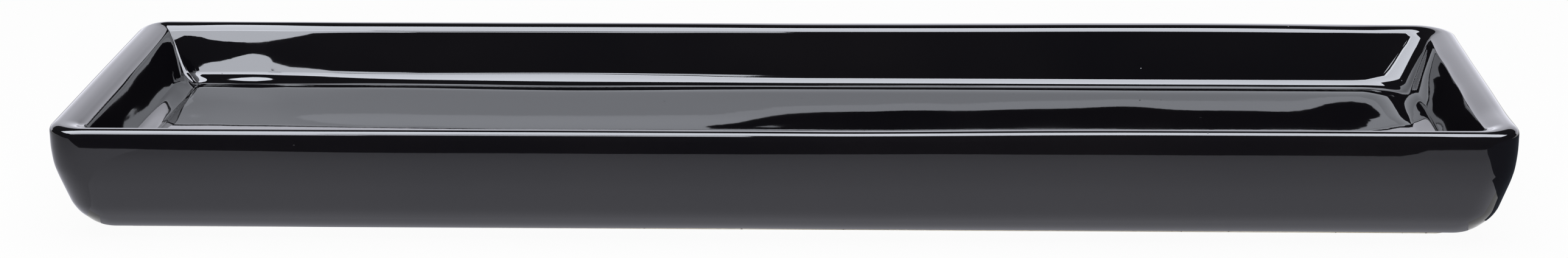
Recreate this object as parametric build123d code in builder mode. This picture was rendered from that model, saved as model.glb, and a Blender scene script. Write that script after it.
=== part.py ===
"""Rectangular suiban, a shallow flower dish, slab built in clay and coated in glaze.

Millimetres. +X runs along the dish, -Y is its front, +Z is up, and the origin is under the middle of the foot.
The clay pieces are the slabs that the dish is luted together from: a base, four mitred walls and a foot of
four mitred strips. The glaze is a skin over the basin, the rim and the outside.
"""

import os
from math import cos, radians, tan

from build123d import *

# Driving dimensions of the finished dish
length = 455.0
width = 136.0
basin_depth = 18.3
recess_height = 8.9
slab_thickness = 9.0
glaze_thickness = 0.8

# Rim, seen in section
rim_outer_radius = 2.5
rim_flat = 0.8
end_rim_extra = 2.0
rim_inner_radius = 5.0
rim_band = 12.2
band_blend_radius = 44.0

# Walls, leaning out from upright, in degrees
outer_lean = 16.0
inner_lean = 28.0

# Rounding of the corners in plan and of the edges where walls meet the underside and the basin floor
corner_radius = 11.0
under_radius = 13.0
under_corner_extra = 0.5
cove_radius = 7.0

# Foot
foot_height = 1.8
foot_reveal = 1.5
foot_width = 6.0
foot_corner_radius = 5.0
foot_edge_radius = 0.8
glaze_wipe = 0.6

# How far the seam of base and walls lies past the cove and the foot's outer face
seam_lap = 0.5

# How far cutting shapes run past what they cut
overrun = 5.0

# Heights
clay_underside = foot_height + glaze_thickness
slab_top = recess_height + slab_thickness
basin_floor = slab_top + glaze_thickness
height = basin_floor + basin_depth
band_foot = height - rim_band

# Distances in from the outermost edge of the rim
outer_slope = tan(radians(outer_lean))
inner_slope = tan(radians(inner_lean))
outer_turn = tan(radians(90 - outer_lean) / 2)
inner_turn = tan(radians(90 - inner_lean) / 2)
rim_width = rim_outer_radius + rim_flat + rim_inner_radius * inner_turn
under_end = (band_foot - foot_height) * outer_slope + under_radius * outer_turn
cove_end = rim_width + basin_depth * inner_slope + cove_radius * inner_turn
foot_inset = under_end + foot_reveal
seam_inset = max(cove_end, foot_inset) + seam_lap
recess_inset = seam_inset + foot_width


def plan(inset, radius):
    """The dish's plan, drawn in by inset from the rim's outermost edge."""
    return RectangleRounded(length - 2 * inset, width - 2 * inset, radius)


def inner_plan(inset, mode=Mode.ADD):
    """A plan with sharp corners, drawn in like the basin's, which has a wider rim at the ends."""
    return Rectangle(length - 2 * (inset + end_rim_extra), width - 2 * inset, mode=mode)


def edges_at(part, level):
    """The edges of a part that lie in the horizontal plane at a level."""
    slack = 0.01
    return part.edges().filter_by_position(Axis.Z, level - slack, level + slack)


def dish(setback):
    """The dish without its foot, each face set back from the finished surface of the glaze."""
    top = height - setback
    bottom = foot_height + setback
    bend = band_foot + setback * tan(radians(outer_lean) / 2)
    bottom_inset = (band_foot - bottom) * outer_slope + setback / cos(radians(outer_lean))
    floor = basin_floor - setback
    mouth = top + overrun
    mouth_inset = rim_width + (height - mouth) * inner_slope - setback / cos(radians(inner_lean))

    with BuildPart() as basin:
        with BuildSketch(Plane.XY.offset(mouth)):
            inner_plan(mouth_inset)
        extrude(amount=floor - mouth, taper=inner_lean)
        fillet(edges_at(basin, floor), cove_radius + setback)

    with BuildPart() as form:
        with BuildSketch(Plane.XY.offset(bottom)):
            plan(bottom_inset, under_radius + under_corner_extra - setback)
        with BuildSketch(Plane.XY.offset(bend)):
            plan(setback, corner_radius - setback)
        loft(ruled=True)
        with BuildSketch(Plane.XY.offset(bend)):
            plan(setback, corner_radius - setback)
        extrude(amount=top - bend)
        fillet(edges_at(form, bend), band_blend_radius - setback)
        fillet(edges_at(form, bottom), under_radius - setback)
        fillet(edges_at(form, top), rim_outer_radius - setback)
        add(basin.part, mode=Mode.SUBTRACT)
        rim_top = form.faces().filter_by(GeomType.PLANE).sort_by(Axis.Z)[-1]
        fillet(rim_top.inner_wires()[0].edges(), rim_inner_radius - setback)
    return form.part


def mitred_quarter(side):
    """The plan of everything on one side of the mitres that run out from the basin's corners."""
    half_length = length / 2 - end_rim_extra + overrun
    half_width = width / 2 + overrun
    ridge = half_length - half_width
    outlines = {
        "front": [(-half_length, -half_width), (half_length, -half_width), (ridge, 0), (-ridge, 0)],
        "back": [(half_length, half_width), (-half_length, half_width), (-ridge, 0), (ridge, 0)],
        "left": [(-half_length, half_width), (-half_length, -half_width), (-ridge, 0)],
        "right": [(half_length, -half_width), (half_length, half_width), (ridge, 0)],
    }
    return Polygon(*outlines[side], align=None)


def save(piece, name):
    """Label a finished piece and write it to its own file."""
    piece.part.label = name
    export_step(piece.part, f"parts/{name}.step")


os.makedirs("parts", exist_ok=True)
clay_dish = dish(glaze_thickness)

# Base slab, let in between the walls and resting on the foot
with BuildPart() as base_slab:
    with BuildSketch(Plane.XY.offset(recess_height)):
        inner_plan(seam_inset)
    extrude(amount=slab_thickness)
save(base_slab, "base_slab")

# Walls, each with its share of the rim and the cove, mitred at both ends
for side, name in (
    ("front", "front_wall"),
    ("back", "back_wall"),
    ("left", "left_end_wall"),
    ("right", "right_end_wall"),
):
    with BuildPart() as wall:
        add(clay_dish)
        with BuildSketch(Plane.XY):
            mitred_quarter(side)
            inner_plan(seam_inset, Mode.SUBTRACT)
        extrude(amount=height, mode=Mode.INTERSECT)
    save(wall, name)

# Foot strips, mitred, lapping the seam from below with a rebate over the wall's lower edge
for side, name in (
    ("front", "front_foot"),
    ("back", "back_foot"),
    ("left", "left_foot"),
    ("right", "right_foot"),
):
    with BuildPart() as foot:
        with BuildSketch(Plane.XY):
            plan(foot_inset, foot_corner_radius)
        extrude(amount=clay_underside)
        with BuildSketch(Plane.XY.offset(clay_underside)):
            inner_plan(seam_inset)
        extrude(amount=recess_height - clay_underside)
        with BuildSketch(Plane.XY):
            inner_plan(recess_inset)
        extrude(amount=recess_height, mode=Mode.SUBTRACT)
        fillet(edges_at(foot, 0), foot_edge_radius)
        with BuildSketch(Plane.XY):
            mitred_quarter(side)
        extrude(amount=recess_height, mode=Mode.INTERSECT)
    save(foot, name)

# Glaze, wiped back a little from the foot
with BuildPart() as glaze_coat:
    add(dish(0))
    add(clay_dish, mode=Mode.SUBTRACT)
    with BuildSketch(Plane.XY.offset(foot_height)):
        plan(foot_inset - glaze_wipe, foot_corner_radius + glaze_wipe)
    extrude(amount=glaze_thickness, mode=Mode.SUBTRACT)
save(glaze_coat, "glaze_coat")
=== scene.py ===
"""Looks of a black-glazed suiban, a long shallow flower dish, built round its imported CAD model.

Metres, in the CAD frame: +X runs along the dish, -Y is its front and +Z is up. It stands on the plane Z = 0.
Heights and places in the functions on the maker's marks are in millimetres.
"""

import math

import bmesh
import bpy
from bpy.props import FloatProperty, FloatVectorProperty, IntProperty, PointerProperty
from mathutils import Matrix, Vector, noise


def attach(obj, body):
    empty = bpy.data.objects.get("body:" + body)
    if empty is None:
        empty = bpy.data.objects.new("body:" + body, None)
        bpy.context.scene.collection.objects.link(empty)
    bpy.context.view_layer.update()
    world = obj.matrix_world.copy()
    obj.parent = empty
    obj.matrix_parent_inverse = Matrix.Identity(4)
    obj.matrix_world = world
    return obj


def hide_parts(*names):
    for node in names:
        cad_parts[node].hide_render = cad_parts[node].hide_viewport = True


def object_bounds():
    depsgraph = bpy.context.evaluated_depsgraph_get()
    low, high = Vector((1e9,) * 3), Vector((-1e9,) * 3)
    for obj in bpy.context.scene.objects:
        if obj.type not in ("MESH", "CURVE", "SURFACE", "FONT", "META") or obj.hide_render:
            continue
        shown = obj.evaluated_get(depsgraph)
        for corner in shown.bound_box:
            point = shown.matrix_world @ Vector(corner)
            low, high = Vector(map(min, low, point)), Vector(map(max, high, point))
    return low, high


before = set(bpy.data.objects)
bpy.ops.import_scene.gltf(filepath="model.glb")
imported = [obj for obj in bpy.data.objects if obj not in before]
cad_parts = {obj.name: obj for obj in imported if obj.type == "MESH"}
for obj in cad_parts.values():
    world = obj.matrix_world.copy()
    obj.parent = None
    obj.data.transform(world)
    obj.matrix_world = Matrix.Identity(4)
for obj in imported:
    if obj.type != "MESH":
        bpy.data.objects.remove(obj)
cad_low, cad_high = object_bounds()

bl_info = {
    "name": "Black-glazed suiban",
    "version": (1, 0, 0),
    "blender": (4, 5, 0),
    "location": "3D View > Sidebar > Suiban",
    "description": "Dresses the clay and glaze of a long flower dish and sets it in a small studio",
    "category": "Object",
}

MM = 0.001
DAYLIGHT = (0.885, 0.915, 1.0)
CARD_WHITE = (0.90, 0.905, 1.0)
CLAY_NODES = (
    "base_slab",
    "front_wall",
    "back_wall",
    "left_end_wall",
    "right_end_wall",
    "front_foot",
    "back_foot",
    "left_foot",
    "right_foot",
)


def size(name, millimetres, description):
    """A length that a user may change, given in millimetres."""
    return FloatProperty(name=name, description=description, default=millimetres * MM, unit="LENGTH")


def angle(name, degrees, description):
    """An angle that a user may change, given in degrees."""
    radians = math.radians(degrees)
    return FloatProperty(name=name, description=description, default=radians, unit="ROTATION")


def colour(name, value, description):
    """A colour that a user may change, in linear light."""
    return FloatVectorProperty(
        name=name, description=description, default=value, subtype="COLOR", size=3, min=0, max=1
    )


def brightness(name, value, description):
    """The strength of a glow that a user may change."""
    return FloatProperty(name=name, description=description, default=value, min=0)


def face_count(name, value, fewest, most, description):
    """A number of faces that a user may change."""
    return IntProperty(name=name, description=description, default=value, min=fewest, max=most)


class GlazeSizes(bpy.types.PropertyGroup):
    """Sizes of the glaze coat, which follow the CAD model but for a few roundings."""

    length: FloatProperty(
        name="Length",
        description="Overall length of the dish",
        default=cad_high.x - cad_low.x,
        unit="LENGTH",
    )
    width: FloatProperty(
        name="Width",
        description="Overall width of the dish",
        default=cad_high.y - cad_low.y,
        unit="LENGTH",
    )
    height: FloatProperty(
        name="Height",
        description="Height of the rim above the table",
        default=cad_high.z,
        unit="LENGTH",
    )
    basin_depth: size("Basin depth", 18.3, "From the rim down to the basin floor")
    thickness: size("Glaze thickness", 0.8, "Thickness of the glaze over the clay")
    rim_outer_radius: size("Rim outer radius", 2.7, "Rounding of the rim's outer edge")
    rim_flat: size("Rim flat", 0.6, "Flat between the two roundings of the rim")
    end_rim_extra: size("End rim extra", 2.0, "How much wider the flat is at the ends")
    rim_inner_radius: size("Rim inner radius", 5.0, "Rounding of the rim into the basin")
    rim_band: size("Rim band", 12.2, "Height of the upright band below the rim")
    band_blend_radius: size("Band blend radius", 44.0, "Rounding from the band into the leaning outside")
    outer_lean: angle("Outer lean", 16.0, "Lean of the outside from upright")
    inner_lean: angle("Inner lean", 28.0, "Lean of the basin's walls from upright")
    corner_radius: size("Corner radius", 12.0, "Plan radius of the rim's outer corners")
    under_radius: size("Under radius", 13.0, "Rounding of the outside into the underside")
    under_corner_radius: size("Under corner radius", 12.0, "Plan radius of the corners at the underside")
    basin_corner_radius: size("Basin corner radius", 7.0, "Plan radius of the basin's corners at the rim")
    cove_radius: size("Cove radius", 7.0, "Rounding of the basin's walls into its floor")
    cove_corner_radius: size("Cove corner radius", 14.0, "Plan radius of the basin's corners at the floor")
    crease_share: FloatProperty(
        name="Crease",
        description="How sharp the basin's left rear corner is",
        default=0.88,
        min=0,
        max=0.95,
    )
    foot_height: size("Foot height", 1.8, "Gap between the table and the glazed underside")
    edge_inset: size("Glaze edge", 17.3, "How far in from the rim's outer edge the glaze ends below")


class GlazeWaves(bpy.types.PropertyGroup):
    """How far the fired glaze wanders from a true surface, and how fine its mesh is."""

    long_height: size("Long wave", 0.16, "Height of the long waves left by the clay")
    long_span: size("Long wave span", 150.0, "Distance between the long waves")
    mid_height: size("Middle wave", 0.07, "Height of the middle waves left by scraping")
    mid_span: size("Middle wave span", 46.0, "Distance between the middle waves")
    fine_height: size("Fine wave", 0.012, "Height of the fine waves in the glaze itself")
    fine_span: size("Fine wave span", 14.0, "Distance between the fine waves")
    along: face_count("Steps along", 116, 40, 200, "Faces along a long side")
    across: face_count("Steps across", 40, 20, 80, "Faces along a short side")
    corner: face_count("Steps per corner", 7, 3, 12, "Faces on half a corner")


class Finishes(bpy.types.PropertyGroup):
    """Colours of the clay and the glaze."""

    glaze: colour("Glaze", (0.0030, 0.0028, 0.0042), "Colour of the glaze where it is thick")
    glaze_light: colour("Glaze, thinner", (0.0052, 0.0046, 0.0058), "Colour of the glaze where it is thin")
    glaze_edge: colour("Glaze edge", (0.030, 0.019, 0.012), "Colour of the glaze at its lower edge")
    clay: colour("Clay", (0.74, 0.70, 0.61), "Colour of the bare clay")
    clay_deep: colour("Clay, toasted", (0.62, 0.56, 0.46), "Colour of the clay where it is toasted")
    clay_speck: colour("Clay specks", (0.16, 0.11, 0.07), "Colour of the iron specks in the clay")


class Studio(bpy.types.PropertyGroup):
    """Light and camera of the small studio."""

    card_height: size("Softbox height", 900.0, "Height of the overhead softbox above the table")
    card_front: angle("Softbox front edge", 65.5, "Elevation of its front edge, seen from the rear wall")
    card_rear: angle("Softbox rear edge", 105.0, "Elevation of its rear edge, counted from the front")
    card_level: brightness("Softbox level", 13.0, "Brightness of the softbox, as the glaze mirrors it")
    sweep_level: brightness("Sweep level", 1.4, "Brightness of the white sweep, as the glaze mirrors it")
    table_reach: size("Table reach", 80.0, "How far the white table runs out in front of the rim")
    fill_power: FloatProperty(
        name="Fill", description="Power of the overhead fill light", default=10.0, unit="POWER"
    )
    camera_distance: size("Camera distance", 1002.7, "From the camera to the point it looks at")
    camera_height: size("Camera aim height", 18.279, "Height of the point that the camera looks at")
    camera_aside: size("Camera aim aside", -0.281, "Where along the dish the camera looks")
    camera_elevation: angle("Camera elevation", 16.67, "How far the camera looks down")
    camera_yaw: angle("Camera yaw", -2.435, "How far the camera is turned from square")
    camera_roll: angle("Camera roll", -0.44, "How far the camera is tipped")
    camera_lens: FloatProperty(
        name="Lens", description="Focal length in millimetres", default=70.03, min=1
    )


def ease(value, start, stop):
    """A smooth step from 0 at start to 1 at stop, whichever of the two is larger."""
    share = min(max((value - start) / (stop - start), 0.0), 1.0)
    return share * share * (3 - 2 * share)


def bell(value, middle, spread):
    """A smooth hump of height 1."""
    return math.exp(-(((value - middle) / spread) ** 2))


def soft_ramp(value, softness):
    """A ramp of slope 1 above 0, with a soft start."""
    return softness * math.log1p(math.exp(min(value / softness, 60.0)))


def section_corners(sizes, setback):
    """The corners of the glaze's section, from the basin floor over the rim to the foot.

    Each is (inset from the rim's outermost edge, level, rounding, steps of the rounding, inset of the plan
    corner's centre, 1 in the basin and 0 outside).
    """
    fine_steps = 16
    rim_steps = 14
    bend_steps = 8
    inner = math.tan(sizes.inner_lean)
    outer = math.tan(sizes.outer_lean)
    rim_turn = math.tan((math.pi / 2 - sizes.inner_lean) / 2)
    rim_width = sizes.rim_outer_radius + sizes.rim_flat + sizes.rim_inner_radius * rim_turn
    basin_floor = sizes.height - sizes.basin_depth
    band_foot = sizes.height - sizes.rim_band
    top = sizes.height - setback
    floor = basin_floor - setback
    bottom = sizes.foot_height + setback
    bend = band_foot + setback * math.tan(sizes.outer_lean / 2)
    inner_step = setback / math.cos(sizes.inner_lean)
    outer_step = setback / math.cos(sizes.outer_lean)
    cove_inset = rim_width + (sizes.height - floor) * inner - inner_step
    mouth_inset = rim_width + (sizes.height - top) * inner - inner_step
    low_inset = (band_foot - bottom) * outer + outer_step
    floor_start = rim_width + sizes.basin_depth * inner + sizes.cove_radius
    mouth_centre = rim_width + sizes.basin_corner_radius
    cove_centre = rim_width + sizes.basin_depth * inner + sizes.cove_corner_radius
    low_centre = (band_foot - sizes.foot_height) * outer + sizes.under_corner_radius
    return [
        (floor_start, floor, 0, 0, cove_centre, 1),
        (cove_inset, floor, sizes.cove_radius + setback, fine_steps, cove_centre, 1),
        (mouth_inset, top, sizes.rim_inner_radius - setback, fine_steps, mouth_centre, 1),
        (setback, top, sizes.rim_outer_radius - setback, rim_steps, sizes.corner_radius, 0),
        (setback, bend, sizes.band_blend_radius - setback, bend_steps, sizes.corner_radius, 0),
        (low_inset, bottom, sizes.under_radius - setback, fine_steps, low_centre, 0),
        (sizes.edge_inset, bottom, 0, 0, low_centre, 0),
    ]


def section_rings(corners):
    """Round the section's corners with bevels and list its points as (inset, level, plan centre, inside).

    A tiny Y notes each point's place between the corners, so that the bevels carry it along.
    """
    place_scale = 1e-6
    longest_step = 2.6 * MM
    wire = bmesh.new()
    points = []
    for number, corner in enumerate(corners):
        inset, level = corner[:2]
        points.append(wire.verts.new((inset, number * place_scale, level)))
    for first, second in zip(points, points[1:]):
        wire.edges.new((first, second))
    roundings = []
    for before, point, after, corner in zip(points, points[1:], points[2:], corners[1:]):
        rounding, steps = corner[2:4]
        turn = (point.co - before.co).angle(after.co - point.co)
        roundings.append((point, rounding * math.tan(turn / 2), steps))
    for point, reach, steps in roundings:
        bmesh.ops.bevel(
            wire,
            geom=[point],
            offset=reach,
            offset_type="OFFSET",
            segments=steps,
            profile=0.5,
            affect="VERTICES",
            material=-1,
        )
    for edge in list(wire.edges):
        cuts = int(edge.calc_length() / longest_step)
        if cuts:
            bmesh.ops.subdivide_edges(wire, edges=[edge], cuts=cuts)
    rings = []
    previous = None
    point = max((vert for vert in wire.verts if len(vert.link_edges) == 1), key=lambda vert: vert.co.z)
    while point:
        place = min(max(point.co.y / place_scale, 0), len(corners) - 1.001)
        before, after = corners[int(place)], corners[int(place) + 1]
        share = place - int(place)
        centre, inside = (start + (end - start) * share for start, end in zip(before[4:], after[4:]))
        rings.append((point.co.x, point.co.z, centre, inside))
        onward = [edge.other_vert(point) for edge in point.link_edges]
        onward = [vert for vert in onward if vert is not previous]
        previous, point = point, onward[0] if onward else None
    wire.free()
    return rings


def side_place(index, steps, corner_steps, half, radius):
    """The place along one side of a rounded rectangle, and how far out from the corners' centres it is."""
    if index > steps / 2:
        along, out = side_place(steps - index, steps, corner_steps, half, radius)
        return -along, out
    if index < corner_steps:
        turn = math.radians(45 + 45 * index / corner_steps)
        return -half - radius * math.cos(turn), radius * math.sin(turn)
    straight = (index - corner_steps) / (steps - 2 * corner_steps)
    return half * (2 * straight - 1), radius


def sheet_place(column, row, ring, sizes, waves):
    """Where a point of the glaze lies, from its column and row in the sheet and its ring of the section."""
    inset, level, centre, inside = ring
    left_rear = ease(column / waves.along, 0.5, 0.05) * ease(row / waves.across, 0.5, 0.95)
    radius = (centre - inset) * (1 - sizes.crease_share * left_rear * inside)
    half_long = sizes.length / 2 - inset - radius - sizes.end_rim_extra * inside
    half_short = sizes.width / 2 - inset - radius
    x_along, y_out = side_place(column, waves.along, waves.corner, half_long, radius)
    y_along, x_out = side_place(row, waves.across, waves.corner, half_short, radius)
    knuckle = radius * math.sqrt(0.5)
    x = x_along + (2 * column / waves.along - 1) * (x_out - knuckle)
    y = y_along + (2 * row / waves.across - 1) * (y_out - knuckle)
    return Vector((x, y, level))


def draw_sheet(mesh, rings, sizes, waves):
    """One face of the glaze: a grid over the basin floor, drawn out ring by ring to the foot.

    Returns its points and the edges that it ends in.
    """
    grid = bmesh.ops.create_grid(mesh, x_segments=waves.along, y_segments=waves.across, size=1)["verts"]
    places = {}
    for vert in grid:
        column = round((vert.co.x + 1) / 2 * waves.along)
        row = round((vert.co.y + 1) / 2 * waves.across)
        places[vert] = (column, row)
    for vert in grid:
        vert.co = sheet_place(*places[vert], rings[0], sizes, waves)
    edges = [edge for edge in {edge for vert in grid for edge in vert.link_edges} if edge.is_boundary]
    for ring in rings[1:]:
        drawn = bmesh.ops.extrude_edge_only(mesh, edges=edges)["geom"]
        fresh = {item for item in drawn if isinstance(item, bmesh.types.BMVert)}
        for vert in fresh:
            neighbours = (edge.other_vert(vert) for edge in vert.link_edges)
            places[vert] = next(places[other] for other in neighbours if other not in fresh)
            vert.co = sheet_place(*places[vert], ring, sizes, waves)
        drawn_edges = (item for item in drawn if isinstance(item, bmesh.types.BMEdge))
        edges = [edge for edge in drawn_edges if fresh.issuperset(edge.verts)]
    return list(places), edges


def shoulder_level(x):
    """Height on the rear inside wall from which its clay was pressed steeper, along the dish."""
    wander = 0.9 * noise.noise(Vector((x / 30, 4.6, 0.0)))
    drop = 6.3 * ease(x, -48, 22)
    end_rise = 5 * ease(x, 186, 202)
    sag = 1.8 * bell(x, 117, 16)
    return 34.5 - drop + end_rise - sag + wander


def rear_wall_marks(x, y, z, normal):
    """Marks on the rear inside wall: a shoulder, a worn top, a hump, a dent and a tuck in the left corner."""
    on_wall = ease(-normal.y, 0.02, 0.88) if y > 0 else 0.0
    shoulder = 0.08 * soft_ramp(z - shoulder_level(x), 0.6)
    worn_level = 30.6 + 3.6 * ease(x, -190, -155)
    worn_top = -0.12 * soft_ramp(z - worn_level, 0.7) * ease(x, -143, -176)
    hump_right = 3.4 * ease(x, -184, -176) + 1.7 * ease(x, -177, -148)
    hump_level = 28.6 - hump_right - 2.2 * ease(x, -187, -199)
    hump_depth = soft_ramp(hump_level - z, 0.5) - soft_ramp(22.6 - z, 0.7)
    hump = 0.115 * hump_depth * ease(x, -138, -160)
    dent = 0.6 * ease(z, 22.8, 31.5) * ease(z, 38.5, 35) * bell(x, 194, 12)
    tuck = 0.05 * (min(max(z, 27.0), 34.0) - 27.0) * ease(x, -200, -209)
    return (shoulder + worn_top + hump + dent + tuck) * on_wall


def floor_marks(x, y, z, normal):
    """Marks on the basin floor: it rises to the left and the front, and glaze pooled along the rear cove."""
    on_floor = ease(normal.z, 0.6, 0.95) * ease(z, 26, 21)
    left_rise = 0.7 * ease(x, -60, -215)
    front_rise = 0.8 * ease(y, 38, -22) + 0.5 * ease(x, 110, 0) * ease(y, 14, -12)
    in_rear_cove = bell(z, 19.9, 1.5) * ease(-normal.y, 0.02, 0.3) * ease(y, 20, 40)
    pool = 0.25 - 0.3 * bell(x, -132, 34) - 0.5 * ease(x, -90, 10)
    return (left_rise + front_rise) * on_floor + pool * in_rear_cove


def end_marks(x, y, z, normal):
    """Marks on the inside of the ends: both are rippled, and the left stands steeper over a low groove."""
    middle = 27.0
    left_wall = ease(normal.x, 0.02, 0.88) if x < 0 else 0.0
    left_seam = ease(x, -202, -208) * ease(normal.x, -0.05, 0.1) * ease(normal.z, 0.0, 0.3)
    steeper = 0.09 * (min(max(z, 18.9), 35.0) - middle) * (left_seam if z < middle else left_wall)
    rippled = 0.3 * ease(x, 180, 206) + 0.081 * ease(x, -170, -200)
    ripple = noise.noise(Vector((x / 17, y / 21, z / 17 + 2.7)))
    return steeper + ripple * rippled * ease(normal.z, 0.1, 0.4) * ease(z, 36.8, 34.5)


def hand_marks(point, normal):
    """What the maker's hands left, as a swelling of the glazed surface in millimetres."""
    x, y, z = point / MM
    low_edge = (0.2 + 0.3 * ease(x, 0, -120)) * ease(-normal.z, 0.5, 0.95)
    inside = rear_wall_marks(x, y, z, normal) + floor_marks(x, y, z, normal) + end_marks(x, y, z, normal)
    return inside + low_edge


def rim_warp(point):
    """How far the long rims rose to the right as the dish dried, in millimetres."""
    x, y, z = point / MM
    front = 0.8 * ease(x, 10, 120) * ease(-y, 35, 60)
    rear = 0.5 * bell(x, 130, 70) * ease(y, 45, 62)
    return (front + rear) * ease(z, 20, 34)


def glaze_swell(point, normal, waves):
    """How far the glaze stands out from, or falls short of, its true surface at a point."""
    long_wave = noise.noise(point / waves.long_span + Vector((3.1, 7.7, 1.3)))
    mid_wave = noise.noise(point / waves.mid_span + Vector((11.9, 2.4, 5.2)))
    fine_wave = noise.noise(point / waves.fine_span + Vector((0.7, 9.3, 8.8)))
    wander = long_wave * waves.long_height + mid_wave * waves.mid_height + fine_wave * waves.fine_height
    return wander + hand_marks(point, normal) * MM


def add_piece(name, mesh):
    """Turn a finished bmesh into an object at the origin."""
    data = bpy.data.meshes.new(name)
    mesh.to_mesh(data)
    mesh.free()
    piece = bpy.data.objects.new(name, data)
    bpy.context.scene.collection.objects.link(piece)
    return piece


def add_node(tree, kind, settings=None, **values):
    """Add a shader node, with its settings and the values of its sockets."""
    made = tree.nodes.new(kind)
    for key, value in (settings or {}).items():
        setattr(made, key, value)
    for key, value in values.items():
        made.inputs[key.replace("_", " ")].default_value = value
    return made


def start_material(name):
    """A new material with its node tree, its shader and the object's own coordinates."""
    material = bpy.data.materials.new(name)
    material.use_nodes = True
    tree = material.node_tree
    shader = tree.nodes["Principled BSDF"]
    place = add_node(tree, "ShaderNodeTexCoord")
    return material, tree, shader, place.outputs["Object"]


def noise_field(tree, place, scale, detail=2.0, roughness=0.5):
    """A noise texture on the object's coordinates."""
    field = add_node(tree, "ShaderNodeTexNoise", Scale=scale, Detail=detail, Roughness=roughness)
    tree.links.new(place, field.inputs["Vector"])
    return field.outputs["Fac"]


def ramp(tree, factor, *stops):
    """A colour ramp from stops of (place, colour)."""
    made = add_node(tree, "ShaderNodeValToRGB")
    elements = made.color_ramp.elements
    while len(elements) < len(stops):
        elements.new(1.0)
    for element, (place, value) in zip(elements, stops):
        element.position = place
        element.color = (*value, 1.0)
    tree.links.new(factor, made.inputs["Fac"])
    return made.outputs["Color"]


def spread(tree, value, from_low, from_high, to_low, to_high, smooth=False):
    """Map a value from one range to another, held at the ends."""
    made = add_node(
        tree,
        "ShaderNodeMapRange",
        {"interpolation_type": "SMOOTHSTEP" if smooth else "LINEAR", "clamp": True},
        From_Min=from_low,
        From_Max=from_high,
        To_Min=to_low,
        To_Max=to_high,
    )
    tree.links.new(value, made.inputs["Value"])
    return made.outputs["Result"]


def blend_colours(tree, factor, first, second):
    """Mix two colours by a factor."""
    made = add_node(tree, "ShaderNodeMix", {"data_type": "RGBA"})
    tree.links.new(factor, made.inputs["Factor"])
    for socket, value in ((made.inputs[6], first), (made.inputs[7], second)):
        if isinstance(value, bpy.types.NodeSocket):
            tree.links.new(value, socket)
        else:
            socket.default_value = (*value, 1.0)
    return made.outputs[2]


def add_bump(tree, height, strength, distance, under=None):
    """A bump from a height, over another bump if one is given."""
    made = add_node(tree, "ShaderNodeBump", Strength=strength, Distance=distance)
    tree.links.new(height, made.inputs["Height"])
    if under:
        tree.links.new(under, made.inputs["Normal"])
    return made.outputs["Normal"]


def glaze_material(finishes, sizes):
    """Deep black gloss glaze: near mirror smooth, with faint clouds, a fine skin and a few pinholes."""
    material, tree, shader, place = start_material("black_gloss_glaze")
    clouds = noise_field(tree, place, scale=14.0, detail=3.0)
    body = ramp(tree, clouds, (0.30, finishes.glaze), (0.72, finishes.glaze_light))
    axes = add_node(tree, "ShaderNodeSeparateXYZ")
    tree.links.new(place, axes.inputs["Vector"])
    low = sizes.foot_height
    edge_depth = 0.9 * MM
    at_edge = spread(tree, axes.outputs["Z"], low, low + edge_depth, 1.0, 0.0, smooth=True)
    tree.links.new(blend_colours(tree, at_edge, body, finishes.glaze_edge), shader.inputs["Base Color"])
    gloss = noise_field(tree, place, scale=38.0, detail=2.0)
    tree.links.new(spread(tree, gloss, 0.3, 0.7, 0.018, 0.045), shader.inputs["Roughness"])
    ripples = noise_field(tree, place, scale=420.0, detail=1.0)
    skin = add_bump(tree, ripples, strength=0.10, distance=0.02 * MM)
    pits = add_node(tree, "ShaderNodeTexVoronoi", Scale=75.0, Randomness=1.0)
    tree.links.new(place, pits.inputs["Vector"])
    pit_depth = spread(tree, pits.outputs["Distance"], 0.008, 0.022, 0.0, 1.0, smooth=True)
    pitted = add_bump(tree, pit_depth, strength=0.6, distance=0.12 * MM, under=skin)
    tree.links.new(pitted, shader.inputs["Normal"])
    shader.inputs["IOR"].default_value = 1.52
    return material


def clay_material(finishes):
    """Bare pale stoneware: matte, faintly toasted, with iron specks and a sandy grain."""
    material, tree, shader, place = start_material("bare_stoneware")
    toast = noise_field(tree, place, scale=22.0, detail=4.0)
    body = ramp(tree, toast, (0.35, finishes.clay), (0.70, finishes.clay_deep))
    specks = add_node(tree, "ShaderNodeTexVoronoi", Scale=420.0, Randomness=1.0)
    tree.links.new(place, specks.inputs["Vector"])
    speck_here = spread(tree, specks.outputs["Distance"], 0.10, 0.17, 1.0, 0.0, smooth=True)
    speckled = blend_colours(tree, speck_here, body, finishes.clay_speck)
    tree.links.new(speckled, shader.inputs["Base Color"])
    grain = noise_field(tree, place, scale=1500.0, detail=3.0, roughness=0.6)
    tree.links.new(spread(tree, grain, 0.3, 0.7, 0.72, 0.92), shader.inputs["Roughness"])
    drag = noise_field(tree, place, scale=190.0, detail=3.0)
    coarse = add_bump(tree, drag, strength=0.35, distance=0.25 * MM)
    sandy = add_bump(tree, grain, strength=0.5, distance=0.10 * MM, under=coarse)
    tree.links.new(sandy, shader.inputs["Normal"])
    return material


class SUIBAN_OT_clay_body(bpy.types.Operator):
    """Give the clay pieces their bare stoneware finish"""

    bl_idname = "suiban.clay_body"
    bl_label = "Clay body"

    def execute(self, context):
        material = clay_material(context.scene.suiban_finishes)
        for name in CLAY_NODES:
            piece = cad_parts[name]
            piece.data.materials.clear()
            piece.data.materials.append(material)
        return {"FINISHED"}


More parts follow.
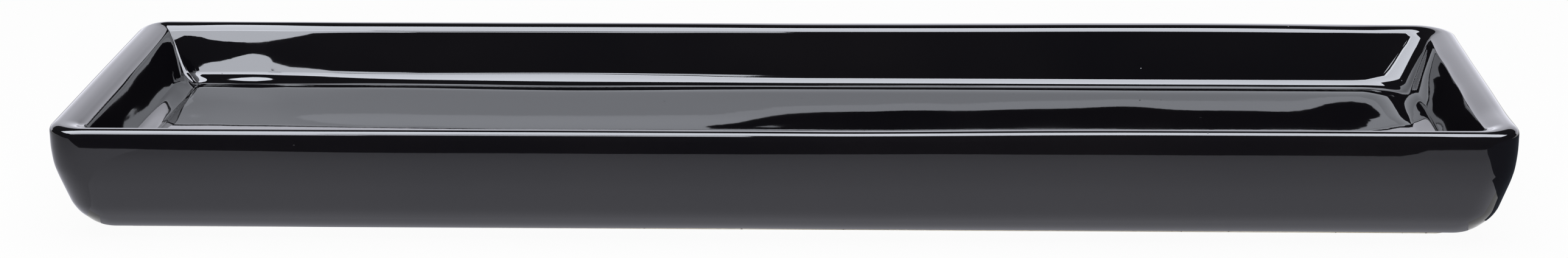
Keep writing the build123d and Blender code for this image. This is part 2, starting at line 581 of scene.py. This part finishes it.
class SUIBAN_OT_glaze_coat(bpy.types.Operator):
    """Make the coat of glaze, with the waves of the fired surface, in place of the CAD one"""

    bl_idname = "suiban.glaze_coat"
    bl_label = "Glaze coat"

    def execute(self, context):
        sizes = context.scene.suiban_sizes
        waves = context.scene.suiban_waves
        mesh = bmesh.new()
        outer_rings = section_rings(section_corners(sizes, 0.0))
        inner_rings = section_rings(section_corners(sizes, sizes.thickness))
        outer_points, outer_edge = draw_sheet(mesh, outer_rings, sizes, waves)
        mesh.normal_update()
        mesh.faces.ensure_lookup_table()
        if mesh.faces[0].normal.z < 0:
            bmesh.ops.reverse_faces(mesh, faces=mesh.faces[:])
            mesh.normal_update()
        moves = [(vert, vert.normal * glaze_swell(vert.co, vert.normal, waves)) for vert in outer_points]
        for vert, move in moves:
            vert.co += move + Vector((0, 0, rim_warp(vert.co) * MM))
        inner_edge = draw_sheet(mesh, inner_rings, sizes, waves)[1]
        bmesh.ops.bridge_loops(mesh, edges=outer_edge + inner_edge)
        bmesh.ops.recalc_face_normals(mesh, faces=mesh.faces[:])
        for face in mesh.faces:
            face.smooth = True
        for edge in outer_edge + inner_edge:
            edge.smooth = False
        piece = add_piece("glaze_coat_fired", mesh)
        piece.data.materials.append(glaze_material(context.scene.suiban_finishes, sizes))
        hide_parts("glaze_coat")
        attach(piece, "root")
        return {"FINISHED"}


def add_plane(name, low, high, material):
    """A flat card between two opposite corners, which share one coordinate."""
    span = Vector(high) - Vector(low)
    flat = min(range(3), key=lambda axis: abs(span[axis]))
    across, up = [axis for axis in range(3) if axis != flat]
    mesh = bmesh.new()
    bmesh.ops.create_grid(mesh, x_segments=1, y_segments=1, size=0.5)
    for vert in mesh.verts:
        share = (vert.co.x + 0.5, vert.co.y + 0.5)
        vert.co = Vector(low)
        vert.co[across] += span[across] * share[0]
        vert.co[up] += span[up] * share[1]
    card = add_piece(name, mesh)
    card.data.materials.append(material)
    return card


def hide_from_all_but_gloss(card):
    """A studio card that shows only as a reflection."""
    card.visible_camera = False
    card.visible_diffuse = False
    card.visible_shadow = False
    card.visible_transmission = False
    card.visible_volume_scatter = False


def glow_material(name, value, level):
    """An even glow for a studio card."""
    material = bpy.data.materials.new(name)
    material.use_nodes = True
    tree = material.node_tree
    tree.nodes.clear()
    glow = add_node(tree, "ShaderNodeEmission", Color=(*value, 1.0), Strength=level)
    out = add_node(tree, "ShaderNodeOutputMaterial")
    tree.links.new(glow.outputs["Emission"], out.inputs["Surface"])
    return material


def fading_glow_material(name, axis, start, stop, start_level, stop_level):
    """A white glow that changes along one axis, for a studio card."""
    material = glow_material(name, CARD_WHITE, 1.0)
    tree = material.node_tree
    place = add_node(tree, "ShaderNodeTexCoord")
    axes = add_node(tree, "ShaderNodeSeparateXYZ")
    tree.links.new(place.outputs["Object"], axes.inputs["Vector"])
    level = spread(tree, axes.outputs[axis], start, stop, start_level, stop_level)
    tree.links.new(level, tree.nodes["Emission"].inputs["Strength"])
    return material


def table_material():
    """White table: mostly an even white where it is seen, with a share of its real shade."""
    glow_share = 0.95
    material = bpy.data.materials.new("white_table")
    material.use_nodes = True
    tree = material.node_tree
    tree.nodes.clear()
    path = add_node(tree, "ShaderNodeLightPath")
    seen = add_node(tree, "ShaderNodeMath", {"operation": "MAXIMUM"})
    tree.links.new(path.outputs["Is Camera Ray"], seen.inputs[0])
    tree.links.new(path.outputs["Is Glossy Ray"], seen.inputs[1])
    seen_too = add_node(tree, "ShaderNodeMath", {"operation": "MAXIMUM"})
    tree.links.new(seen.outputs["Value"], seen_too.inputs[0])
    tree.links.new(path.outputs["Is Transmission Ray"], seen_too.inputs[1])
    share = add_node(tree, "ShaderNodeMath", {"operation": "MULTIPLY"})
    share.inputs[1].default_value = glow_share
    tree.links.new(seen_too.outputs["Value"], share.inputs[0])
    matte = add_node(tree, "ShaderNodeBsdfDiffuse", Color=(0.86, 0.86, 0.86, 1.0))
    glow = add_node(tree, "ShaderNodeEmission", Color=(1.0, 1.0, 1.0, 1.0), Strength=1.0)
    mixed = add_node(tree, "ShaderNodeMixShader")
    tree.links.new(share.outputs["Value"], mixed.inputs["Fac"])
    tree.links.new(matte.outputs["BSDF"], mixed.inputs[1])
    tree.links.new(glow.outputs["Emission"], mixed.inputs[2])
    out = add_node(tree, "ShaderNodeOutputMaterial")
    tree.links.new(mixed.outputs["Shader"], out.inputs["Surface"])
    return material


def dress_world(scene):
    """White behind everything for the camera, and a dark room for reflections and shade."""
    world = bpy.data.worlds.new("studio_room")
    scene.world = world
    world.use_nodes = True
    tree = world.node_tree
    tree.nodes.clear()
    path = add_node(tree, "ShaderNodeLightPath")
    room = add_node(tree, "ShaderNodeBackground", Color=(0.92, 0.95, 1.0, 1.0), Strength=0.045)
    white = add_node(tree, "ShaderNodeBackground", Color=(1.0, 1.0, 1.0, 1.0), Strength=1.0)
    mixed = add_node(tree, "ShaderNodeMixShader")
    tree.links.new(path.outputs["Is Camera Ray"], mixed.inputs["Fac"])
    tree.links.new(room.outputs["Background"], mixed.inputs[1])
    tree.links.new(white.outputs["Background"], mixed.inputs[2])
    out = add_node(tree, "ShaderNodeOutputWorld")
    tree.links.new(mixed.outputs["Shader"], out.inputs["Surface"])


def place_camera(scene, studio):
    """The camera, square to the dish's front but for a few degrees, looking down into the basin."""
    yaw = studio.camera_yaw
    dip = studio.camera_elevation
    forward = Vector((math.sin(yaw) * math.cos(dip), math.cos(yaw) * math.cos(dip), -math.sin(dip)))
    side = Vector((math.cos(yaw), -math.sin(yaw), 0.0))
    up = side.cross(forward)
    turn = studio.camera_roll
    side, up = side * math.cos(turn) + up * math.sin(turn), up * math.cos(turn) - side * math.sin(turn)
    aim = Vector((studio.camera_aside, 0.0, studio.camera_height))
    data = bpy.data.cameras.new("camera")
    data.lens = studio.camera_lens
    data.clip_start = 0.01
    camera = bpy.data.objects.new("camera", data)
    scene.collection.objects.link(camera)
    rotation = Matrix((side, up, -forward)).transposed().to_4x4()
    camera.matrix_world = Matrix.Translation(aim - forward * studio.camera_distance) @ rotation
    scene.camera = camera


def add_cards(cards):
    """Add studio cards, each given as its name, two opposite corners and its material."""
    for name, low, high, material in cards:
        hide_from_all_but_gloss(add_plane(name, low, high, material))


def add_overhead_cards(sizes, studio):
    """The softbox with its brighter front edge, two cards in front of it, and the white sweep at the back."""
    top = studio.card_height
    mirror_place = sizes.width * 0.4
    front = mirror_place - (top - sizes.height) / math.tan(studio.card_front)
    rear = mirror_place - (top - sizes.height) / math.tan(studio.card_rear)
    softbox_end = 1.1
    edge_rear = front + 0.07
    cards_meet = -0.32
    sweep_end = 1.4
    sweep_place = 0.75
    sweep_top = 0.42
    softbox = glow_material("softbox_glow", DAYLIGHT, studio.card_level)
    edge = glow_material("softbox_edge_glow", DAYLIGHT, studio.card_level * 1.25)
    aside = glow_material("side_card_glow", DAYLIGHT, studio.card_level * 0.8)
    sweep_foot_level = studio.sweep_level * 1.5
    sweep_top_level = studio.sweep_level * 1.05
    sweep = fading_glow_material("sweep_glow", "Z", 0.0, sweep_top, sweep_foot_level, sweep_top_level)
    add_cards((
        ("softbox_card", (-softbox_end, edge_rear, top), (softbox_end, rear, top), softbox),
        ("softbox_edge_card", (-softbox_end, front, top), (softbox_end, edge_rear, top), edge),
        ("side_card", (-1.0, -0.72, top), (cards_meet, front, top), aside),
        ("front_card", (cards_meet, -0.62, top), (-0.06, -0.42, top), aside),
        ("sweep_card", (-sweep_end, sweep_place, 0.0), (sweep_end, sweep_place, sweep_top), sweep),
    ))


def add_front_flag(sizes, studio, level, material):
    """The dark floor in front of the white table, whose edge lies a little askew."""
    far_edge = -200.0
    half_span = 600.0
    mesh = bmesh.new()
    bmesh.ops.create_grid(mesh, x_segments=200, y_segments=1, size=0.5)
    for vert in mesh.verts:
        x = vert.co.x * 2 * half_span
        askew = 13 * ease(x, -120, -240) + 5 * bell(x, 40, 50) + 22 * ease(x, 203, 218)
        near_edge = -(sizes.width / 2 + studio.table_reach) / MM - askew
        vert.co = Vector((x, near_edge if vert.co.y > 0 else far_edge, level / MM)) * MM
    card = add_piece("front_flag", mesh)
    card.data.materials.append(material)
    hide_from_all_but_gloss(card)


def add_table_cards(sizes, studio):
    """Cards lying on the table: its white, the shade under the dish, and the dark floor round it."""
    table_end = 0.6
    table_front = -0.2
    shade_front = -sizes.width / 2 + 6 * MM
    shade_end = sizes.length / 2 - 12 * MM
    floor_end = 3.0
    corner_front = -0.085
    corner_rear = -0.052
    left_near = -0.222
    low = 0.3 * MM
    middle = 0.5 * MM
    high = 0.7 * MM
    table = fading_glow_material("table_glow", "Y", -0.141, -0.066, 0.8, 1.25)
    shade = fading_glow_material("shade_glow", "Y", -0.062, -0.049, 1.15, 0.06)
    left = fading_glow_material("left_glow", "X", left_near, -0.34, 1.0, 0.6)
    black = glow_material("flag_black", (1.0, 1.0, 1.0), 0.03)
    navy = glow_material("flag_navy", (0.7, 0.8, 1.0), 0.09)
    add_cards((
        ("table_card", (-table_end, table_front, low), (table_end, shade_front, low), table),
        ("shade_card", (-shade_end, shade_front, low), (shade_end, -shade_front, low), shade),
        ("far_front_flag", (-floor_end, -floor_end, low), (floor_end, table_front, low), black),
        ("right_flag", (0.247, table_front, middle), (floor_end, corner_front, middle), navy),
        ("right_near_flag", (0.239, corner_front, middle), (floor_end, corner_rear, middle), navy),
        ("right_foot_flag", (0.223, corner_rear, middle), (floor_end, 0.1, middle), navy),
        ("left_flag", (-0.9, table_front, middle), (left_near, 0.5, middle), left),
    ))
    add_front_flag(sizes, studio, high, black)


def add_lamp(scene, name, span, power, place, tilt):
    """A rectangular lamp that lights matte surfaces and doesn't show in the glaze."""
    data = bpy.data.lights.new(name, "AREA")
    data.shape = "RECTANGLE"
    data.size, data.size_y = span
    data.energy = power
    lamp = bpy.data.objects.new(name, data)
    scene.collection.objects.link(lamp)
    lamp.location = place
    lamp.rotation_euler = (tilt, 0.0, 0.0)
    lamp.visible_glossy = False
    lamp.visible_camera = False


class SUIBAN_OT_studio(bpy.types.Operator):
    """Set the dish on a white table under a softbox, with the camera in front"""

    bl_idname = "suiban.studio"
    bl_label = "Studio"

    def execute(self, context):
        scene = context.scene
        studio = scene.suiban_studio
        sizes = scene.suiban_sizes
        table_half = 4.0
        front_power = studio.fill_power * 1.5
        front_tilt = math.radians(78)
        scene.view_settings.view_transform = "Standard"
        dress_world(scene)
        table_low = (-table_half, -table_half, 0.0)
        table_high = (table_half, table_half, 0.0)
        add_plane("white_table", table_low, table_high, table_material())
        add_overhead_cards(sizes, studio)
        add_table_cards(sizes, studio)
        add_lamp(scene, "fill_light", (1.4, 1.0), studio.fill_power, (0.0, -0.05, 0.95), 0.0)
        add_lamp(scene, "front_fill_light", (1.6, 0.4), front_power, (0.0, -1.3, 0.3), front_tilt)
        place_camera(scene, studio)
        return {"FINISHED"}


class SUIBAN_PT_panel(bpy.types.Panel):
    """The dish's pieces and its studio, in the sidebar"""

    bl_idname = "SUIBAN_PT_panel"
    bl_label = "Suiban"
    bl_space_type = "VIEW_3D"
    bl_region_type = "UI"
    bl_category = "Suiban"

    def draw(self, context):
        for operator in OPERATORS:
            self.layout.operator(operator.bl_idname)
        for name in GROUPS:
            group = getattr(context.scene, name)
            box = self.layout.box()
            for key in group.__annotations__:
                box.prop(group, key)


OPERATORS = (SUIBAN_OT_clay_body, SUIBAN_OT_glaze_coat, SUIBAN_OT_studio)
GROUPS = {
    "suiban_sizes": GlazeSizes,
    "suiban_waves": GlazeWaves,
    "suiban_finishes": Finishes,
    "suiban_studio": Studio,
}


def register():
    """Make the groups, the operators and the panel known to Blender."""
    for name, group in GROUPS.items():
        bpy.utils.register_class(group)
        setattr(bpy.types.Scene, name, PointerProperty(type=group))
    for operator in OPERATORS:
        bpy.utils.register_class(operator)
    bpy.utils.register_class(SUIBAN_PT_panel)


def unregister():
    """Take them out again."""
    bpy.utils.unregister_class(SUIBAN_PT_panel)
    for operator in reversed(OPERATORS):
        bpy.utils.unregister_class(operator)
    for name, group in reversed(GROUPS.items()):
        delattr(bpy.types.Scene, name)
        bpy.utils.unregister_class(group)


def main():
    """Dress the dish and set the studio."""
    register()
    bpy.ops.suiban.clay_body()
    bpy.ops.suiban.glaze_coat()
    bpy.ops.suiban.studio()


if __name__ == "__main__":
    main()
